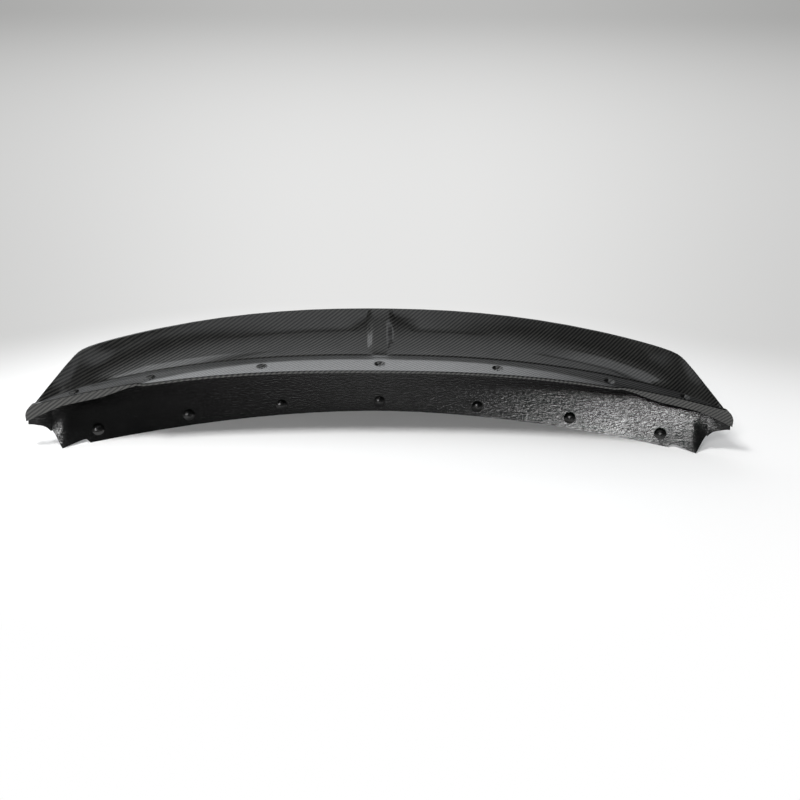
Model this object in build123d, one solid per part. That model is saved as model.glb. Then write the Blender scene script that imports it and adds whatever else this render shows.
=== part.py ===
from build123d import *
import math
import os

# Ducktail boot-lid spoiler, moulded in one piece from carbon laminate.
# X runs across the car, Y towards its rear and Z up, with every length in mm.
# The section at each X is a hook: a flange that lies on the boot lid, a dished
# blade that kicks up behind it, and a rear wall that hangs from the trailing edge.

# Laminate and overall width
laminate = 3.0
overall_width = 1408.0

# Foot of the rear wall, the bowed edge that the part stands on
foot_bow = 177.0
foot_power = 1.88
ear_width = 67.0
pinch_width = 43.0

# Trailing edge and raked side edge, measured from the middle of the foot
trail_height = 218.0
trail_overhang = 50.0
trail_bow = 117.0
trail_crown = 46.0
trail_power = 2.25
trail_land = 4.5
trail_fill = 14.0
corner_inset = 89.0
corner_round = 14.0
wall_bulge = 5.0
wall_end_bulge = 11.0

# Front edge of the flange, measured from the middle of the foot
front_height = 145.0
front_reach = 100.0
front_bow = 70.0
front_bow_power = 2.3
front_crown = 52.0
front_crown_power = 2.6
front_bevel = 1.5
tip_inset = 19.0
tip_depth = 7.0

# Flange, its longer middle part and the lip that turns down at its ends
flange_depth = 56.0
flange_end_depth = 25.0
flange_fall = -4.0
nose_reach = 10.0
nose_width = 960.0
nose_blend = 26.0
edge_return = 2.0
lip_height = 18.0
lip_run = 90.0
lip_tip_height = 32.0

# Blade: the step behind the flange, the two pockets and the rib between them
step_height = 2.5
step_run = 2.0
step_fade = 60.0
pocket_sag = 9.0
pocket_end_sag = 4.5
pocket_end = 75.0
rim_sag = 1.0
rib_width = 24.0
rib_flank = 18.0
rib_height = 6.0

# Cut-outs at each ear: arch over the tail lamp, notch beside the crease, rounded tip
arch_height = 46.0
arch_run = 62.0
arch_rise = 1.0
notch_height = 7.0
notch_width = 50.0
tip_round = 20.0
tip_drop = 32.0

# Seats: a row of dishes with backing pads and screw holes on the flange, and a row of mounds inside the foot
screw_hole = 4.5
front_seats = [0.0, 240.0, 464.0, 612.0]
front_setback = 19.5
front_end_setback = 13.0
dish_width = 21.0
dish_floor = 8.0
dish_depth = 4.2
pad_width = 22.0
foot_seats = [0.0, 211.0, 402.0, 576.0]
mound_height = 18.0
mound_width = 25.0
mound_rise = 5.0

half = overall_width / 2
crease = half - ear_width
pinch = half - pinch_width
corner = half - corner_inset
tip = half - tip_inset
fall = math.tan(math.radians(flange_fall))
clear = 40.0
hair = 0.3


def fade(u, start, length):
    """Smooth change from 0 at start to 1 at start + length."""
    t = min(max((u - start) / length, 0.0), 1.0)
    return t * t * (3 - 2 * t)


def past_corner(u):
    """Distance past the corner of the trailing edge, eased in over the round of the corner."""
    return (u - corner + math.hypot(u - corner, corner_round)) / 2


def foot_point(u):
    """Foot of the wall, which runs straight out across the ear from the crease."""
    return Vector(0, -foot_bow * (min(u, crease) / crease) ** foot_power, 0)


def front_point(u):
    """Front edge of the flange, without its longer middle part."""
    y = -front_reach - front_bow * (u / tip) ** front_bow_power
    return Vector(0, y, front_height - front_crown * (u / tip) ** front_crown_power)


def trail_point(u):
    """Trailing edge as far as its corner, then the raked side edge down to the tip."""
    past = past_corner(u)
    share = (max(u - past, 0.0) / corner) ** trail_power
    point = Vector(0, trail_overhang - trail_bow * share, trail_height - trail_crown * share)
    end = front_point(max(u, tip)) + Vector(0, tip_depth, hair)
    return point + (end - point) * min(past / past_corner(tip), 1.0)


def span(u):
    """Depth of the section from the front edge to the trailing edge."""
    return trail_point(u).Y - front_point(u).Y


def inward(along):
    """Normal on the hollow side of an outline that runs from the lip to the foot."""
    return Vector(0, along.Z, -along.Y).normalized()


def meet(p, along_p, q, along_q):
    """Point where two lines in the plane of a section cross."""
    gap = q - p
    across = along_p.Y * along_q.Z - along_p.Z * along_q.Y
    return p + along_p * ((gap.Y * along_q.Z - gap.Z * along_q.Y) / across)


def bow(a, middle, b):
    """Curve from a to b that passes the middle point halfway."""
    return Edge.make_bezier(a, middle * 2 - (a + b) / 2, b)


def curve(a, p, q, b):
    """Curve from a to b that passes p and q at a third and two thirds of its way."""
    leave = (p * 18 - a * 5 - q * 9 + b * 2) / 6
    reach = (q * 18 - b * 5 - p * 9 + a * 2) / 6
    return Edge.make_bezier(a, leave, reach, b)


def outline(x):
    """Corners of the outer section at x, and the curves of its blade and wall."""
    u = abs(x)
    end = min(u / corner, 1.0) ** 2
    trail = trail_point(u)
    nose = nose_reach * (1 - fade(u, (nose_width - nose_blend) / 2, nose_blend))
    front = front_point(u) - Vector(0, nose, 0)
    middle, outer = flange_depth / span(0), flange_end_depth / span(corner)
    depth = nose + span(u) * (middle + (outer - middle) * end)
    flange = front + Vector(0, depth, -fall * depth)
    edge = laminate + edge_return
    drop = edge + (lip_height - edge) * fade(u, nose_width / 2, lip_run)
    drop += (lip_tip_height - lip_height) * max(u - crease, 0.0) / (half - crease)
    lip = front - Vector(0, 0, drop)

    rib = 1 - fade(u, rib_width / 2, rib_flank)
    rise = hair + (step_height - hair) * (1 - rib) * (1 - fade(u, corner - step_fade, step_fade))
    step = flange + Vector(0, step_run * rise / step_height, rise)
    blade_top = trail - Vector(0, trail_land, trail_land / 2) / 2
    wall_top = trail + Vector(0, trail_land, -trail_land / 2) / 2
    sag = pocket_sag - (pocket_sag - pocket_end_sag) * end - rib_height * rib
    sag += (rim_sag - sag) * fade(u, corner - pocket_end, pocket_end)
    chord = blade_top - step
    below = inward(chord) * sag * min(span(u) / span(corner), 1.0)
    foot = foot_point(u)
    bulge = wall_bulge + (wall_end_bulge - wall_bulge) * end
    belly = (wall_top + foot) / 2 - inward(foot - wall_top) * bulge

    at = Vector(x, 0, 0)
    floor, rim = step + chord / 3 + below, step + chord * 2 / 3 + below * 0.9
    blade = curve(at + step, at + floor, at + rim, at + blade_top)
    wall = bow(at + wall_top, at + belly, at + foot)
    return at + lip, at + front, at + flange, at + trail, blade, wall


def chain(*points):
    """Straight edges through a row of points."""
    return [Edge.make_line(a, b) for a, b in zip(points, points[1:])]


def skin_edges(x):
    """Outer edges of the section at x, from the lip over the trailing edge to the foot."""
    lip, front, flange, trail, blade, wall = outline(x)
    bevel = min(front_bevel, (flange - front).length / 3)
    under = front - Vector(0, 0, bevel)
    over = front + (flange - front).normalized() * bevel
    flat = chain(lip, under, over, flange, blade.position_at(0))
    return [*flat, blade, *chain(blade.position_at(1), trail, wall.position_at(0)), wall]


def inner_edges(x, depth):
    """Edges that lie depth inside the skin, from the foot back to the lip."""
    lip, front, flange, trail, blade, wall = outline(x)
    under = inward(flange - front) * depth
    lip_in = lip + Vector(0, depth, 0)
    front_in = meet(lip_in, Vector(0, 0, 1), front + under, flange - front)
    filled = 1 - trail_fill / blade.length
    apex = (blade.position_at(filled) + wall.position_at(trail_fill / wall.length)) / 2
    stops = [filled * 2 / 3, filled / 3]
    rim, floor = [blade.position_at(s) + inward(blade.tangent_at(s)) * depth for s in stops]
    belly = wall.position_at(0.53) + inward(wall.tangent_at(0.53)) * depth
    foot = wall.position_at(1)
    heel = foot + inward(wall.tangent_at(1)) * depth
    heel = meet(heel, wall.tangent_at(1), foot, Vector(0, 1, 0))
    return [
        bow(heel, belly, apex),
        curve(apex, rim, floor, flange + under),
        *chain(flange + under, front_in, lip_in),
    ]


def closed(edges, *corners):
    """Wire of a row of edges, closed by straight lines through the corners."""
    return Wire([*edges, *chain(edges[-1].position_at(1), *corners, edges[0].position_at(0))])


def laminate_section(x):
    """Section of the moulded laminate at x."""
    outer, inner = skin_edges(x), inner_edges(x, laminate)
    sole = chain(outer[-1].position_at(1), inner[0].position_at(0))
    return closed([*outer, *sole, *inner])


def wall_spot(u, height):
    """Point on the rear wall's outer face at u and a height, with the wall's lean there."""
    wall = outline(u)[-1]
    low, high = 0.0, 1.0
    for _ in range(30):
        middle = (low + high) / 2
        low, high = (middle, high) if wall.position_at(middle).Z > height else (low, middle)
    along = wall.tangent_at(low)
    return wall.position_at(low), along.Y / along.Z


def pinched_section(x):
    """Section at x near the tip, where the hollow is filled down to the bottom of the lip."""
    outer = skin_edges(x)
    lip, foot = outer[0].position_at(0), outer[-1].position_at(1)
    spot, lean = wall_spot(x, lip.Z)
    back = Vector(0, laminate, 0)
    return closed(outer, foot - back, spot - back, lip + back)


def hollow_section(x, depth):
    """Section at x of the space that lies depth inside the skin, run out past the open mouth."""
    inner = inner_edges(x, depth)
    heel, lip = inner[0].position_at(0), inner[-1].position_at(1)
    ahead = min(heel.Y, lip.Y) - clear
    return closed(inner, Vector(x, ahead, lip.Z), Vector(x, ahead, -clear), Vector(x, heel.Y, -clear))


def front_seat(x):
    """Backing pad under the flange at x, the dish pressed into both, and its upright screw hole."""
    u = abs(x)
    back = front_setback + (front_end_setback - front_setback) * u / front_seats[-1]
    spot = front_point(u) + Vector(x, back, -fall * back)
    slope = front_crown * front_crown_power / tip * (u / tip) ** (front_crown_power - 1)
    skin = Plane(spot, z_dir=(math.copysign(slope, x), fall, 1))
    floor = dish_floor / 2
    rise = dish_depth + laminate / 2
    brim = floor + (dish_width / 2 - floor) * rise / dish_depth
    low = (Align.CENTER, Align.CENTER, Align.MIN)
    dish = skin * Pos(0, 0, -dish_depth) * Cone(floor, brim, rise, align=low)
    pad = skin * Pos(0, 0, -dish_depth - laminate) * Box(pad_width, pad_width, rise, align=low)
    return pad, dish, Plane(spot) * Cylinder(screw_hole / 2, clear)


def foot_seat(x):
    """Mound on the inside of the rear wall at x, over the end of a fixing."""
    u = abs(x)
    spot, lean = wall_spot(u, mound_height)
    turn = foot_bow * foot_power / crease * (u / crease) ** (foot_power - 1)
    skin = Plane(Vector(x, spot.Y, spot.Z), z_dir=(math.copysign(turn, x), 1, -lean))
    depth = laminate + mound_rise
    ball = mound_width**2 / (8 * mound_rise) + mound_rise / 2
    brim = -math.degrees(math.asin(1 - depth / ball))
    low = (Align.CENTER, Align.CENTER, Align.MIN)
    return skin * Pos(0, 0, -depth) * Sphere(ball, arc_size2=brim, align=low)


def both(row):
    """Places of a row on both sides of the middle."""
    return [-u for u in reversed(row) if u] + row


# Stations of the body, closer together at the rib, the ends of the nose and the corners
rib_edge, rib_foot = rib_width / 2, rib_width / 2 + rib_flank
nose_end = nose_width / 2
places = [rib_edge, rib_edge + rib_flank * 0.3, rib_edge + rib_flank * 0.7, rib_foot]
places += [rib_foot + (nose_end - nose_blend - rib_foot) * n / 7 for n in range(1, 8)]
places += [nose_end + nose_blend * share for share in (-0.3, 0, 0.3, 1)]
places += [corner - pocket_end * share for share in (1, 0.75, 0.5, 0.25)]
places += [corner + corner_round * share for share in (-0.5, 0, 0.5)]
stations = [0.0]
for place in sorted(places):
    if stations[-1] + laminate < place < crease - laminate:
        stations.append(place)
stations = both([*stations, crease])

# Outlines of the cut-outs at the right-hand ear, seen from the front
peak = crease + arch_run
gap = crease - notch_width
shoulder = trail_point(half - tip_round).Z
with BuildSketch(Plane.XZ) as outlines:
    with BuildLine():
        Spline((crease, 0), (peak, arch_height), tangents=[(1, arch_rise), (1, 0)])
        Polyline(
            (peak, arch_height),
            (half + clear, arch_height),
            (half + clear, -clear),
            (crease, -clear),
            (crease, 0),
        )
    make_face()
    with BuildLine():
        Polyline(
            (crease, 0),
            (crease - notch_width * 0.72, notch_height),
            (crease - notch_width * 0.84, notch_height),
            (gap, 0),
            (gap, -clear),
            (crease, -clear),
            (crease, 0),
        )
    make_face()
    with BuildLine():
        ThreePointArc(
            (half - tip_round, shoulder),
            (half - tip_round * 0.25, shoulder - tip_drop * 0.35),
            (half, shoulder - tip_drop),
        )
        Polyline(
            (half, shoulder - tip_drop),
            (half + clear, shoulder - tip_drop),
            (half + clear, shoulder + clear),
            (half - tip_round, shoulder + clear),
            (half - tip_round, shoulder),
        )
    make_face()
cutter = extrude(outlines.sketch, amount=foot_bow + front_reach + front_bow)

# Moulded laminate: the body between the creases, and an ear with a pinched tip at each end
body = Solid.make_loft([laminate_section(x) for x in stations], True)
ear = Solid.make_loft([laminate_section(x) for x in (crease, (crease + pinch) / 2, pinch)])
end = Solid.make_loft([pinched_section(x) for x in (pinch, (pinch + tip) / 2, tip, half)], True)
side = ear.fuse(end).cut(cutter)
body = body.cut(cutter, mirror(cutter, Plane.YZ))

# Mounds and pads grow from the middle of the laminate, then come the dishes and the screw holes
room = Solid.make_loft([hollow_section(x, laminate / 2) for x in stations], True)
stand = Pos(0, 0, trail_height) * Box(overall_width, overall_width, 2 * trail_height)
mounds = [(foot_seat(x) & stand & room).solid() for x in both(foot_seats)]
pads, dishes, holes = zip(*(front_seat(x) for x in both(front_seats)))
shell = body.fuse(side, mirror(side, Plane.YZ), *mounds, *pads)
shell = shell.cut(*dishes, *holes)

# The part stands on its foot, with the origin under the middle of its outline
box = shell.bounding_box()
shell = Pos(0, -box.center().Y, -box.min.Z) * shell

os.makedirs("parts", exist_ok=True)
export_step(shell, "parts/spoiler_shell.step")
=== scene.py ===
"""Looks of the ducktail spoiler: clear-coated twill carbon outside, brushed raw laminate inside."""

import math

import bmesh
import bpy
from mathutils import Matrix, Vector
from mathutils.bvhtree import BVHTree


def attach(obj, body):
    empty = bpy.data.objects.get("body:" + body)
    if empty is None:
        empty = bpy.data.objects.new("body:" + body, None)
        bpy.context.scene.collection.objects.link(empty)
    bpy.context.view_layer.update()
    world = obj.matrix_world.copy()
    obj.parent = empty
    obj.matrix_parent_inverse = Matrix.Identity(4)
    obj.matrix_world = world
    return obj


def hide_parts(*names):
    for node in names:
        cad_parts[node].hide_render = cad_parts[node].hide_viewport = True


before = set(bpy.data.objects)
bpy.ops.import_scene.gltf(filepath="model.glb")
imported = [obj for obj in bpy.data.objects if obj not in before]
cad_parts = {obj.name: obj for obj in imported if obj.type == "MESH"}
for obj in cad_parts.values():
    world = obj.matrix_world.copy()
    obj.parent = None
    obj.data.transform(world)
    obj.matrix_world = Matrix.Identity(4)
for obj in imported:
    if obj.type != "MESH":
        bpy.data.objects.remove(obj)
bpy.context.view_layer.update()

MM = 0.001
PER_METRE = 1000

# Cloth: width of a tow in mm, tows in a repeat and on top, and the turn of the lay
TOW_WIDTH = 2.15
TWILL_REPEAT, TWILL_OVER = 4, 1.5
LAY_TURN = math.radians(8.5)

# Run of the cloth in mm for each metre along a skin and up it, and which skins count as a wall
SKIN_RUN, SKIN_RISE = 940, 340
STEEP, REARWARD = 0.8, 0.25

# Outside skin: the warp tows' lighter tint is painted sheen, for the way their fibres catch the light
PAINTED_SHEEN_DIM, PAINTED_SHEEN_BRIGHT = (0.048, 0.048, 0.045, 1), (0.092, 0.0905, 0.083, 1)
WEFT_TOW = (0.018, 0.0185, 0.0185, 1)
WEFT_TOW_ROUGHNESS, WARP_TOW_ROUGHNESS = 0.28, 0.36
TOW_RELIEF = 0.22 * MM

# Inside skin, with streaks and patches in mm
RESIN_DARK, RESIN_PALE = (0.001, 0.0011, 0.001, 1), (0.004, 0.0042, 0.004, 1)
RESIN_GLOSSY, RESIN_DULL = 0.14, 0.28
RESIN_RELIEF = 0.7 * MM
RESIN_STREAK = {"Length": 9.0, "Width": 3.0}
PATCH_SIZE = 50.0

# Trimmed edges
SAWN_DARK, SAWN_PALE = (0.008, 0.008, 0.008, 1), (0.03, 0.031, 0.031, 1)
SAWN_SMOOTH, SAWN_ROUGH = 0.5, 0.7
SAWN_RELIEF = 0.2 * MM
SAWN_STREAK = {"Length": 8.0, "Width": 0.8}

# Sides of the moulding, and what tells them apart
OUTSIDE, INSIDE, TRIMMED = range(3)
OFF_SKIN = 6 * MM
LIP_FOOT = 0.055
FACING_DOWN = -0.85

# Mesh of the moulding
WELD = 0.02 * MM
SHARP_ANGLE = math.radians(24)


def node_tree(owner):
    """Cleared node tree of a material or world."""
    owner.use_nodes = True
    owner.node_tree.nodes.clear()
    return owner.node_tree


def join(tree, value, socket):
    """Link an output to a socket, or set the socket's own value."""
    if isinstance(value, bpy.types.NodeSocket):
        tree.links.new(value, socket)
    else:
        socket.default_value = value


def add(tree, kind, settings=None, **inputs):
    """Node of a kind, with its settings, and with values or links on its named inputs."""
    node = tree.nodes.new(kind)
    for name, value in (settings or {}).items():
        setattr(node, name, value)
    for name, value in inputs.items():
        join(tree, value, node.inputs[name.replace("_", " ")])
    return node


def arith(tree, operation, *values):
    """Result of one step of arithmetic on values or outputs."""
    node = add(tree, "ShaderNodeMath", {"operation": operation})
    for value, socket in zip(values, node.inputs):
        join(tree, value, socket)
    return node.outputs[0]


def scaled(tree, *pairs):
    """Each output times its own number."""
    return [arith(tree, "MULTIPLY", value, times) for value, times in pairs]


def blend(tree, share, a, b):
    """Value between a and b."""
    node = add(tree, "ShaderNodeMix", {"data_type": "FLOAT"})
    for value, socket in zip((share, a, b), (node.inputs[0], node.inputs[2], node.inputs[3])):
        join(tree, value, socket)
    return node.outputs[0]


def tint(tree, share, a, b):
    """Colour between a and b."""
    node = add(tree, "ShaderNodeMix", {"data_type": "RGBA"})
    for value, socket in zip((share, a, b), (node.inputs[0], node.inputs[6], node.inputs[7])):
        join(tree, value, socket)
    return node.outputs[2]


def split(tree, kind):
    """X, Y and Z of one kind of texture coordinates."""
    coords = add(tree, "ShaderNodeTexCoord")
    return add(tree, "ShaderNodeSeparateXYZ", Vector=coords.outputs[kind]).outputs


def new_group(name, inputs, outputs):
    """Empty shader group with named number sockets, and its two end nodes."""
    group = bpy.data.node_groups.new(name, "ShaderNodeTree")
    for way, sockets in (("INPUT", inputs), ("OUTPUT", outputs)):
        for socket in sockets:
            group.interface.new_socket(socket, in_out=way, socket_type="NodeSocketFloat")
    return group, group.nodes.new("NodeGroupInput"), group.nodes.new("NodeGroupOutput")


def cloth_lay(tree):
    """Place on the cloth in mm: across the car, and along the skin from the front edge to the rear."""
    at, facing = split(tree, "Object"), split(tree, "Normal")
    steep = arith(tree, "GREATER_THAN", arith(tree, "ABSOLUTE", facing["Y"]), STEEP)
    upright = arith(tree, "MAXIMUM", steep, arith(tree, "GREATER_THAN", facing["Y"], REARWARD))
    top = arith(tree, "ADD", *scaled(tree, (at["Y"], SKIN_RUN), (at["Z"], SKIN_RISE)))
    wall = arith(tree, "ADD", *scaled(tree, (at["Y"], SKIN_RISE), (at["Z"], SKIN_RUN)))
    return arith(tree, "MULTIPLY", at["X"], PER_METRE), blend(tree, upright, top, wall)


def turned_cloth(tree):
    """Place along the two sets of tows, which lie at a small turn to the car."""
    across, along = cloth_lay(tree)
    cos, sin = math.cos(LAY_TURN), math.sin(LAY_TURN)
    warp = arith(tree, "SUBTRACT", *scaled(tree, (across, cos), (along, sin)))
    weft = arith(tree, "ADD", *scaled(tree, (across, sin), (along, cos)))
    return warp, weft


def twill_group():
    """Two-by-two twill: which tow lies on top, and how its back leans as it dips under the next."""
    group, given, out = new_group("twill_weave", ["Tow"], ["Warp", "Height"])
    x, y = (arith(group, "DIVIDE", place, given.outputs["Tow"]) for place in turned_cloth(group))
    step = arith(group, "SUBTRACT", arith(group, "FLOOR", x), arith(group, "FLOOR", y))
    warp = arith(group, "LESS_THAN", arith(group, "FLOORED_MODULO", step, TWILL_REPEAT), TWILL_OVER)
    rise = arith(group, "FRACT", y)
    fall = arith(group, "SUBTRACT", 1, rise)
    join(group, warp, out.inputs["Warp"])
    join(group, blend(group, warp, rise, fall), out.inputs["Height"])
    return group


def brushed_group():
    """Streaks left by the brush in the resin, drawn out along the lay of the cloth."""
    group, given, out = new_group("brushed_resin", ["Length", "Width"], ["Streaks"])
    across, along = cloth_lay(group)
    drawn = add(
        group,
        "ShaderNodeCombineXYZ",
        X=arith(group, "DIVIDE", across, given.outputs["Length"]),
        Y=arith(group, "DIVIDE", along, given.outputs["Width"]),
    )
    streaks = add(
        group,
        "ShaderNodeTexNoise",
        Vector=drawn.outputs[0],
        Scale=1.0,
        Detail=4.0,
        Distortion=0.6,
    )
    join(group, streaks.outputs[0], out.inputs["Streaks"])
    return group


def patchy_group():
    """Broad patches, where the resin lies thicker or thinner."""
    group, given, out = new_group("resin_patches", ["Size"], ["Patches"])
    across, along = cloth_lay(group)
    place = add(group, "ShaderNodeCombineXYZ", X=across, Y=along)
    scale = arith(group, "DIVIDE", 1, given.outputs["Size"])
    patches = add(group, "ShaderNodeTexNoise", Vector=place.outputs[0], Scale=scale, Detail=3.0)
    join(group, patches.outputs[0], out.inputs["Patches"])
    return group


twill, brushed, patchy = twill_group(), brushed_group(), patchy_group()


def placed(tree, group, **inputs):
    """Outputs of a shared group in a material, with this material's values."""
    return add(tree, "ShaderNodeGroup", {"node_tree": group}, **inputs).outputs


def finish(name, surface):
    """Material whose shader is built by a function of its node tree."""
    material = bpy.data.materials.new(name)
    tree = node_tree(material)
    shader = surface(tree)
    add(tree, "ShaderNodeOutputMaterial", Surface=shader.outputs[0])
    return material


def clear_coated_twill(tree):
    """Outside skin: twill of dark, silky tows under a deep clear coat, with painted sheen as a lighter tint
    on the warp tows.
    """
    cloth = placed(tree, twill, Tow=TOW_WIDTH)
    patches = placed(tree, patchy, Size=PATCH_SIZE)["Patches"]
    # Painted sheen: the warp tows get a lighter tint than the weft tows, standing in for the light their
    # fibres catch
    painted_sheen_tow = tint(tree, patches, PAINTED_SHEEN_DIM, PAINTED_SHEEN_BRIGHT)
    bump = add(tree, "ShaderNodeBump", Strength=1.0, Distance=TOW_RELIEF, Height=cloth["Height"])
    return add(
        tree,
        "ShaderNodeBsdfPrincipled",
        Base_Color=tint(tree, cloth["Warp"], WEFT_TOW, painted_sheen_tow),
        Metallic=1.0,
        Roughness=blend(tree, cloth["Warp"], WEFT_TOW_ROUGHNESS, WARP_TOW_ROUGHNESS),
        Normal=bump.outputs[0],
        Coat_Weight=1.0,
        Coat_Roughness=0.07,
    )


def brushed_laminate(tree):
    """Inside skin: raw laminate brushed with black resin, glossy and uneven."""
    streaks = placed(tree, brushed, **RESIN_STREAK)["Streaks"]
    patches = placed(tree, patchy, Size=PATCH_SIZE)["Patches"]
    bump = add(tree, "ShaderNodeBump", Strength=1.0, Distance=RESIN_RELIEF, Height=streaks)
    return add(
        tree,
        "ShaderNodeBsdfPrincipled",
        Base_Color=tint(tree, streaks, RESIN_DARK, RESIN_PALE),
        Roughness=blend(tree, patches, RESIN_GLOSSY, RESIN_DULL),
        Specular_IOR_Level=0.7,
        Normal=bump.outputs[0],
    )


def sawn_edge(tree):
    """Trimmed edges: sawn laminate, dull and dark."""
    streaks = placed(tree, brushed, **SAWN_STREAK)["Streaks"]
    patches = placed(tree, patchy, Size=PATCH_SIZE)["Patches"]
    bump = add(tree, "ShaderNodeBump", Strength=0.4, Distance=SAWN_RELIEF, Height=streaks)
    return add(
        tree,
        "ShaderNodeBsdfPrincipled",
        Base_Color=tint(tree, streaks, SAWN_DARK, SAWN_PALE),
        Roughness=blend(tree, patches, SAWN_SMOOTH, SAWN_ROUGH),
        Normal=bump.outputs[0],
    )


def side_of(face, skins):
    """Whether a face is on the outside, looks into the hollow, or is a trimmed edge."""
    ahead = face.calc_center_median() + face.normal * OFF_SKIN
    covered = skins.ray_cast(ahead, Vector((0, 0, 1)))[0]
    backed = skins.ray_cast(ahead, Vector((0, 1, 0)))[0]
    low = face.normal.y < 0 and ahead.z < LIP_FOOT
    if backed and (covered or low):
        return INSIDE
    return TRIMMED if face.normal.z < FACING_DOWN else OUTSIDE


def dressed_shell(node, finishes):
    """The moulded shell with smooth skins, and each skin in its own finish."""
    work = bmesh.new()
    work.from_mesh(node.data)
    bmesh.ops.remove_doubles(work, verts=work.verts, dist=WELD)
    work.normal_update()
    skins = BVHTree.FromBMesh(work)
    for face in work.faces:
        face.smooth = True
        face.material_index = side_of(face, skins)
    mesh = bpy.data.meshes.new("carbon_shell")
    work.to_mesh(mesh)
    work.free()
    for name in ("custom_normal", "sharp_face"):
        if name in mesh.attributes:
            mesh.attributes.remove(mesh.attributes[name])
    mesh.set_sharp_from_angle(angle=SHARP_ANGLE)
    for material in finishes:
        mesh.materials.append(material)
    shell = bpy.data.objects.new("carbon_shell", mesh)
    bpy.context.scene.collection.objects.link(shell)
    return shell


finishes = [
    finish("clear_coated_twill", clear_coated_twill),
    finish("brushed_laminate", brushed_laminate),
    finish("sawn_edge", sawn_edge),
]
shell = dressed_shell(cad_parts["spoiler_shell"], finishes)
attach(shell, "root")
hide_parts("spoiler_shell")


# Studio: a white floor that turns grey towards the back and sides in painted shade, and a grey backdrop all
# round it, in metres
BACKDROP_REACH, BACKDROP_HEIGHT, BACKDROP_SIDES = 18.0, 6.0, 48
BACKDROP_GREY = (0.26, 0.26, 0.257, 1)
FLOOR_WHITE = (1, 1, 1, 1)
FLOOR_MATT = (0.95, 0.95, 0.945, 1)
NEAR_MIDDLE, NEAR_SIDES = (0.79, 0.79, 0.785, 1), (0.62, 0.62, 0.615, 1)
FAR_MIDDLE, FAR_SIDES = (0.5, 0.5, 0.495, 1), (0.38, 0.38, 0.375, 1)

# Where the floor's tones change, and the round on which it takes the shadow
FAN_POINT = 2.0
MIDDLE_TO_SIDES = (0.05, 0.5)
WHITE_TO_GREY = (-0.15, 0.5)
NEAR_TO_FAR = (1.6, 10.0)
SHADOW_TO_EVEN = (0.3, 0.75)
SHADOW_STRETCH = 0.6

# Soft panels: place, aim, width, height and strength of each
PANEL_TINT = (0.955, 0.975, 1.0, 1)
PANEL_FADE = 0.22
SOFT_PANELS = {
    "rear_panel": ((-1.3, 2.3, 1.6), (-1.3, 0.0, 0.15), 6.4, 1.6, 2.1),
    "top_panel": ((-0.5, 1.6, 2.7), (-0.5, 1.6001, 0.0), 5.6, 5.6, 0.76),
    "left_panel": ((-1.25, 0.6, 2.6), (-0.5, 0.0, 0.15), 1.8, 1.6, 2.3),
    "right_panel": ((1.05, -0.05, 2.6), (0.5, 0.0, 0.15), 1.2, 1.2, 1.3),
    "front_panel": ((-0.06, -0.95, 2.35), (-0.06, 0.0, 0.15), 0.72, 1.2, 0.9),
}

# Softboxes: place, aim, width, height, watts, and whether glossy skins mirror the lamp
SOFTBOXES = {
    "key_softbox": ((-1.4, -0.45, 3.4), (0.0, 0.0, 0.05), 0.9, 0.9, 92, False),
    "front_softbox": ((-1.55, -3.5, 2.9), (0.4, 0.0, 0.05), 0.8, 0.8, 62, True),
}
ROOM_TINT, ROOM_STRENGTH = (0.96, 0.98, 1.0, 1), 0.06


def eased(tree, value, start, end):
    """Smooth change from 0 at start to 1 at end."""
    settings = {"interpolation_type": "SMOOTHSTEP"}
    return add(tree, "ShaderNodeMapRange", settings, Value=value, From_Min=start, From_Max=end).outputs[0]


def seen_share(tree):
    """1 where the studio is seen, also in a reflection or through glass, and 0 where it gives light."""
    path = add(tree, "ShaderNodeLightPath").outputs
    mirrored = arith(tree, "MAXIMUM", path["Is Glossy Ray"], path["Is Transmission Ray"])
    return arith(tree, "MAXIMUM", path["Is Camera Ray"], mirrored)


def mixed(tree, share, first, second):
    """Two shaders mixed by a share."""
    node = add(tree, "ShaderNodeMixShader", Fac=share)
    join(tree, first.outputs[0], node.inputs[1])
    join(tree, second.outputs[0], node.inputs[2])
    return node


def studio_floor(tree):
    """White floor that takes the shadow near the part and further off has a fixed tone, greyed towards the
    back and sides by painted shade.
    """
    at = split(tree, "Object")
    slant = arith(tree, "DIVIDE", at["X"], arith(tree, "ADD", at["Y"], FAN_POINT))
    sides = eased(tree, arith(tree, "ABSOLUTE", slant), *MIDDLE_TO_SIDES)
    # Painted shade: the floor's fixed tone greys towards the sides and the back
    near = tint(tree, sides, NEAR_MIDDLE, NEAR_SIDES)
    far = tint(tree, sides, FAR_MIDDLE, FAR_SIDES)
    grey = tint(tree, eased(tree, at["Y"], *NEAR_TO_FAR), near, far)
    tone = tint(tree, eased(tree, at["Y"], *WHITE_TO_GREY), FLOOR_WHITE, grey)
    even = add(tree, "ShaderNodeEmission", Color=tone, Strength=1.0)
    matt = add(tree, "ShaderNodeBsdfDiffuse", Color=FLOOR_MATT)
    place = add(tree, "ShaderNodeCombineXYZ", X=arith(tree, "MULTIPLY", at["X"], SHADOW_STRETCH), Y=at["Y"])
    off = add(tree, "ShaderNodeVectorMath", {"operation": "LENGTH"}, Vector=place.outputs[0])
    past_shadow = eased(tree, off.outputs["Value"], *SHADOW_TO_EVEN)
    return mixed(tree, arith(tree, "MULTIPLY", seen_share(tree), past_shadow), matt, even)


def studio_backdrop(tree):
    """Grey cloth hung round the studio, with one even tone where it is seen."""
    even = add(tree, "ShaderNodeEmission", Color=BACKDROP_GREY, Strength=1.0)
    matt = add(tree, "ShaderNodeBsdfDiffuse", Color=BACKDROP_GREY)
    return mixed(tree, seen_share(tree), matt, even)


def studio_piece(name, corners, faces, surface):
    """Piece of the studio that isn't part of the object."""
    mesh = bpy.data.meshes.new(name)
    mesh.from_pydata(corners, [], faces)
    mesh.materials.append(finish(name, surface))
    piece = bpy.data.objects.new(name, mesh)
    bpy.context.scene.collection.objects.link(piece)
    return piece


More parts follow.
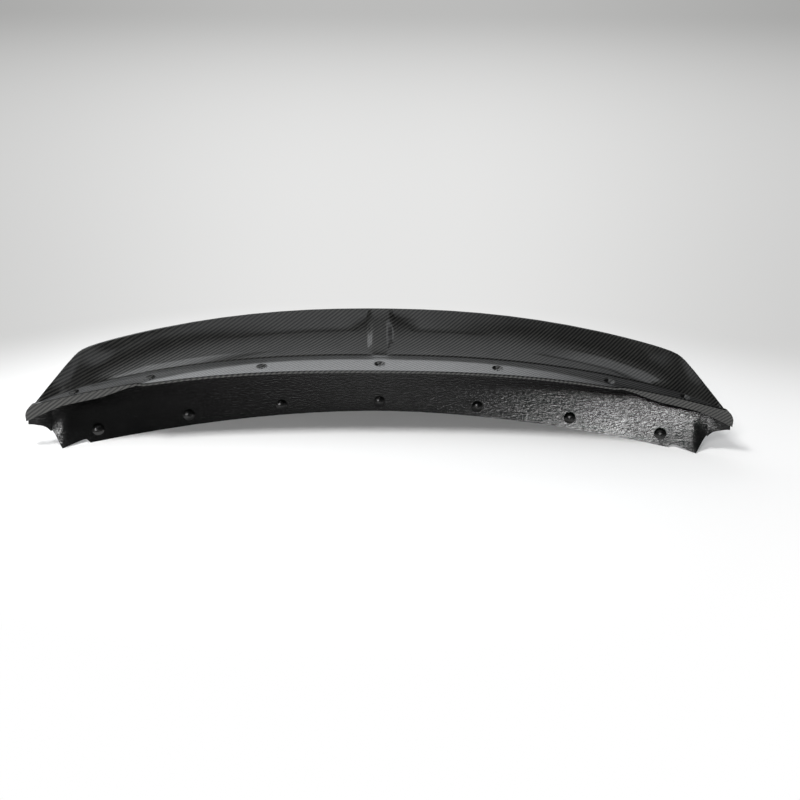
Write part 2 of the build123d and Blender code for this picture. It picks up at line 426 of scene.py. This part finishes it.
def studio_room():
    """Round floor under the part, and the backdrop that hangs round it."""
    count = BACKDROP_SIDES
    turns = [Matrix.Rotation(2 * math.pi * k / count, 3, "Z") for k in range(count)]
    rim = [turn @ Vector((BACKDROP_REACH, 0, 0)) for turn in turns]
    raised = [corner + Vector((0, 0, BACKDROP_HEIGHT)) for corner in rim]
    walls = [(k, k + count, (k + 1) % count + count, (k + 1) % count) for k in range(count)]
    studio_piece("studio_floor", rim, [tuple(range(count))], studio_floor)
    studio_piece("studio_backdrop", rim + raised, walls, studio_backdrop)


def turned(place, aim):
    """Rotation that faces the aim from a place."""
    return (Vector(aim) - Vector(place)).to_track_quat("-Z", "Y").to_euler()


def soft_panel(name, place, aim, width, height, strength):
    """Glowing cloth panel that fades out towards its edges."""

    def glow(tree):
        at = split(tree, "Object")
        power = strength
        for spot, size in ((at["X"], width), (at["Y"], height)):
            faded = eased(tree, arith(tree, "ABSOLUTE", spot), size * PANEL_FADE, size / 2)
            power = arith(tree, "MULTIPLY", power, arith(tree, "SUBTRACT", 1, faded))
        return add(tree, "ShaderNodeEmission", Color=PANEL_TINT, Strength=power)

    x, y = width / 2, height / 2
    panel = studio_piece(name, [(-x, -y, 0), (x, -y, 0), (x, y, 0), (-x, y, 0)], [(0, 1, 2, 3)], glow)
    panel.location = place
    panel.rotation_euler = turned(place, aim)
    panel.visible_camera = False
    panel.visible_shadow = False


def softbox(name, place, aim, width, height, power, mirrored):
    """Rectangular lamp at a place, turned towards its aim."""
    lamp = bpy.data.lights.new(name, "AREA")
    lamp.shape = "RECTANGLE"
    lamp.size, lamp.size_y, lamp.energy = width, height, power
    box = bpy.data.objects.new(name, lamp)
    box.location = place
    box.rotation_euler = turned(place, aim)
    box.visible_glossy = mirrored
    bpy.context.scene.collection.objects.link(box)


def studio_light():
    """Dim surroundings, soft panels for the coat and tows to mirror, and two softboxes."""
    world = bpy.data.worlds.new("studio")
    tree = node_tree(world)
    room = add(tree, "ShaderNodeBackground", Color=ROOM_TINT, Strength=ROOM_STRENGTH)
    add(tree, "ShaderNodeOutputWorld", Surface=room.outputs[0])
    bpy.context.scene.world = world
    for name, panel in SOFT_PANELS.items():
        soft_panel(name, *panel)
    for name, box in SOFTBOXES.items():
        softbox(name, *box)


# Camera as fitted to the photograph, 25 degrees above the part
LOOK_DOWN, DISTANCE, ROLL = math.radians(25.0), 2.058, math.radians(0.451)
AIM = Vector((0.0, 0.0055, 0.1078))
SENSOR, LENS, SHIFT_X, SHIFT_Y = 36.0, 44.57, 0.0254, -0.029


def photo_camera():
    """Camera at the photograph's viewing angle."""
    lens = bpy.data.cameras.new("camera")
    lens.sensor_width, lens.lens = SENSOR, LENS
    lens.shift_x, lens.shift_y = SHIFT_X, SHIFT_Y
    camera = bpy.data.objects.new("camera", lens)
    ahead = Vector((0, math.cos(LOOK_DOWN), -math.sin(LOOK_DOWN)))
    turn = ahead.to_track_quat("-Z", "Y").to_matrix().to_4x4() @ Matrix.Rotation(ROLL, 4, "Z")
    camera.matrix_world = Matrix.Translation(AIM - ahead * DISTANCE) @ turn
    bpy.context.scene.collection.objects.link(camera)
    bpy.context.scene.camera = camera


studio_room()
studio_light()
photo_camera()
bpy.context.scene.view_settings.view_transform = "Standard"
